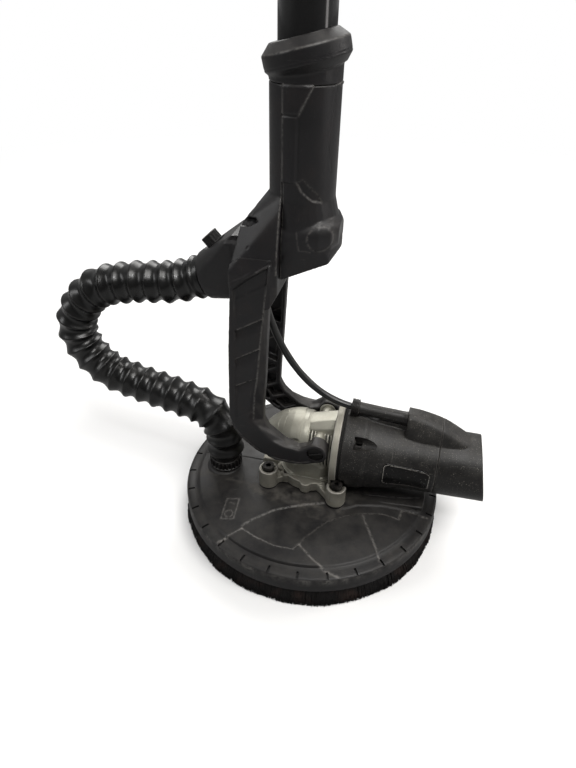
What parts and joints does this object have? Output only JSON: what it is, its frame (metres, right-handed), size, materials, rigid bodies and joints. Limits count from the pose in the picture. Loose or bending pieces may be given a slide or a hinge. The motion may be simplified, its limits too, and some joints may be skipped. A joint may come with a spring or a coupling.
{
  "type": "pole drywall sander",
  "caption": "Long-reach wall and ceiling sander: round shrouded head with a side-lying motor, ribbed yoke, looping dust hose, telescopic pole and rear handle.",
  "frame": {"origin": "on the pad spindle's axis, at the level of the brush tips", "axes": "+Z along the spindle and the pole, away from the work face; +X towards the rear of the motor; the tilt axis runs along Y"},
  "size_m": [0.3958, 0.24, 1.2595],
  "materials": {
    "charcoal_plastic": "moulded, fine grain",
    "motor_plastic": "moulded, speckled grain",
    "cast_alloy": "polished casting",
    "flange_alloy": "machined casting",
    "black_oxide": "black oxide screws",
    "steel": "turned steel",
    "gear_steel": "hardened steel",
    "bearing_steel": "ground steel",
    "bush_rubber": "soft rubber",
    "iron_core": "laminated iron",
    "copper": "copper",
    "brass_part": "brass",
    "carbon": "carbon block",
    "fan_plastic": "moulded",
    "label_gloss": "glossy plate",
    "pad_plastic": "moulded",
    "foam": "closed-cell foam",
    "abrasive": "abrasive paper on hook-and-loop cloth",
    "bristle": "dense nylon bristles",
    "hose_plastic": "glossy corrugated plastic",
    "pole_metal": "glossy black coated aluminium",
    "grip_foam": "soft foam grip",
    "handle_plastic": "moulded, soft grain",
    "red_plastic": "glossy coloured plastic",
    "dial_plastic": "moulded grey",
    "cord_rubber": "flexible cable jacket"
  },
  "bodies": {
    "wand": {"yoke_fork": "charcoal_plastic", "yoke_front_cover": "charcoal_plastic", "socket_collar": "charcoal_plastic", "pivot_bushes": "brass_part", "yoke_screws": "black_oxide", "lower_tube": "pole_metal", "dust_hose": "hose_plastic", "head_cable": "cord_rubber"},
    "head": {"shroud": "charcoal_plastic", "mount_bushes": "bush_rubber", "bearing_plate": "cast_alloy", "gear_housing": "cast_alloy", "gear_case_flange": "flange_alloy", "post_screws": "black_oxide", "spindle_bearings": "bearing_steel", "motor_bearings": "bearing_steel", "stator": "copper", "carbon_brushes": "carbon", "brush_boxes": "brass_part", "motor_housing": "motor_plastic", "motor_gasket": "bush_rubber", "motor_end_cap": "motor_plastic", "motor_screws": "black_oxide", "label_plate": "label_gloss", "cable_sleeve": "cord_rubber", "cable_clip": "cord_rubber", "dust_port_ring": "charcoal_plastic", "pivot_screws": "black_oxide"},
    "pad": {"spindle": "steel", "crown_gear": "gear_steel", "pad_plate": "pad_plastic", "foam_pad": "foam", "abrasive_disc": "abrasive", "pad_bolt": "steel"},
    "rotor": {"pinion": "gear_steel", "motor_shaft": "steel", "armature_core": "iron_core", "commutator": "copper", "cooling_fan": "fan_plastic"},
    "brush_ring": {"brush_holder": "charcoal_plastic", "brush_bristles": "bristle"},
    "upper_pole": {"upper_tube": "pole_metal", "lock_collar": "charcoal_plastic", "lever_pin": "steel", "front_grip": "grip_foam", "handle_shell_left": "handle_plastic", "handle_shell_right": "handle_plastic", "handle_screws": "black_oxide", "switch_module": "handle_plastic", "cord_sleeve": "cord_rubber", "power_cord": "cord_rubber"},
    "lever": {"lock_lever": "red_plastic"},
    "trigger_lever": {"trigger": "handle_plastic"},
    "lock_button": {"lock_on_button": "red_plastic"},
    "dial": {"speed_dial": "dial_plastic"},
    "outlet": {"dust_outlet": "charcoal_plastic"},
    "knob": {"hose_release_knob": "charcoal_plastic"}
  },
  "joints": [
    {"name": "head_tilt", "type": "hinge", "parent": "wand", "child": "head", "pos_m": [0.0084, 0, 0.0941], "axis": [0, -1, 0], "range_deg": [-20, 85], "deforming": ["dust_hose", "head_cable"]},
    {"name": "pad_spin", "type": "hinge", "parent": "head", "child": "pad", "pos_m": [0, 0, 0.03], "axis": [0, 0, 1], "continuous": true},
    {"name": "motor_spin", "type": "hinge", "parent": "head", "child": "rotor", "pos_m": [0.06, 0, 0.078], "axis": [1, 0, 0], "continuous": true},
    {"name": "brush_float", "type": "slide", "parent": "head", "child": "brush_ring", "axis": [0, 0, 1], "range_m": [0, 0.003], "stiffness_N_per_m": 800, "springref_m": -0.002},
    {"name": "pole_extend", "type": "slide", "parent": "wand", "child": "upper_pole", "axis": [0, 0, 1], "range_m": [0, 0.4]},
    {"name": "lock_lever_swing", "type": "hinge", "parent": "upper_pole", "child": "lever", "pos_m": [0.013, 0, 0.5265], "axis": [0, -1, 0], "range_deg": [0, 110]},
    {"name": "trigger_press", "type": "hinge", "parent": "upper_pole", "child": "trigger_lever", "pos_m": [0.0145, 0, 1.0635], "axis": [0, 1, 0], "range_deg": [0, 4]},
    {"name": "lock_on_press", "type": "slide", "parent": "upper_pole", "child": "lock_button", "axis": [0, 1, 0], "range_m": [0, 0.004]},
    {"name": "speed_dial_turn", "type": "hinge", "parent": "upper_pole", "child": "dial", "pos_m": [0.0072, 0, 1.1215], "axis": [1, 0, 0], "range_deg": [0, 270]},
    {"name": "outlet_swivel", "type": "hinge", "parent": "upper_pole", "child": "outlet", "pos_m": [-0.017, 0, 1.2095], "axis": [0, 0, 1], "continuous": true},
    {"name": "knob_turn", "type": "hinge", "parent": "wand", "child": "knob", "pos_m": [-0.0835, 0, 0.259], "axis": [-0.6691, 0, 0.7431], "range_deg": [0, 90]}
  ],
  "couplings": [
    {"joint": "motor_spin", "follows": "pad_spin", "ratio": 4.1111}
  ]
}
